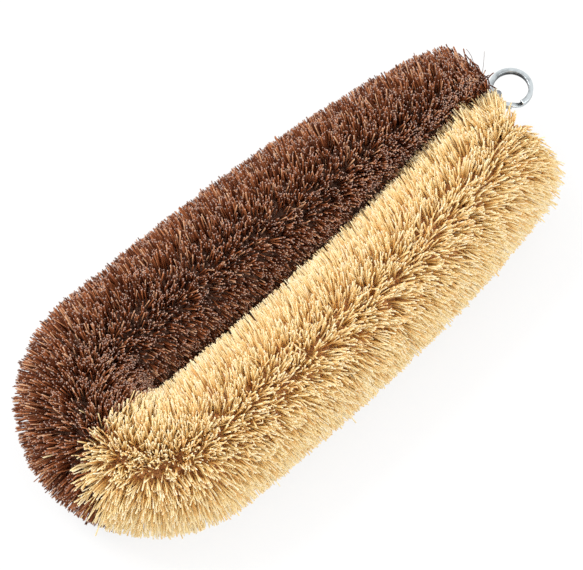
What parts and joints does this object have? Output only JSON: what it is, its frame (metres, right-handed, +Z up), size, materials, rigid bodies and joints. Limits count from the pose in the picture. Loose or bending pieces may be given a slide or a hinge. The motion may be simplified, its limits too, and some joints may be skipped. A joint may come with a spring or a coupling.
{
  "type": "scrub brush",
  "caption": "Hairpin-shaped scrub brush with dark coir and pale sisal bristles on a bent twisted-wire stem, and a split ring that swings in the stem's end eye.",
  "frame": {"origin": "on the plane the brush lies on, under the middle of its bounding box", "axes": "+X from the bend towards the hanging ring, +Y towards the dark coir leg, +Z up from the plane it lies on"},
  "size_m": [0.2296, 0.0957, 0.0498],
  "materials": {
    "coir": "matte brown coconut fibre",
    "sisal": "matte pale yellow sisal fibre",
    "galvanised_steel": "satin galvanised wire"
  },
  "bodies": {
    "brush": {"coir_section_01": "coir", "coir_section_02": "coir", "coir_section_03": "coir", "coir_section_04": "coir", "coir_section_05": "coir", "coir_section_06": "coir", "coir_section_07": "coir", "coir_section_08": "coir", "coir_section_09": "coir", "coir_section_10": "coir", "coir_section_11": "coir", "sisal_section_01": "sisal", "sisal_section_02": "sisal", "sisal_section_03": "sisal", "sisal_section_04": "sisal", "sisal_section_05": "sisal", "sisal_section_06": "sisal", "sisal_section_07": "sisal", "sisal_section_08": "sisal", "sisal_section_09": "sisal", "sisal_section_10": "sisal", "stem_wire": "galvanised_steel"},
    "ring": {"hanging_ring": "galvanised_steel"}
  },
  "joints": [
    {"name": "ring_swing", "type": "hinge", "parent": "brush", "child": "ring", "pos_m": [0.10039, 0.00762, 0.0245], "axis": [0.244, 0.9698, 0], "range_deg": [-100, 100]}
  ]
}
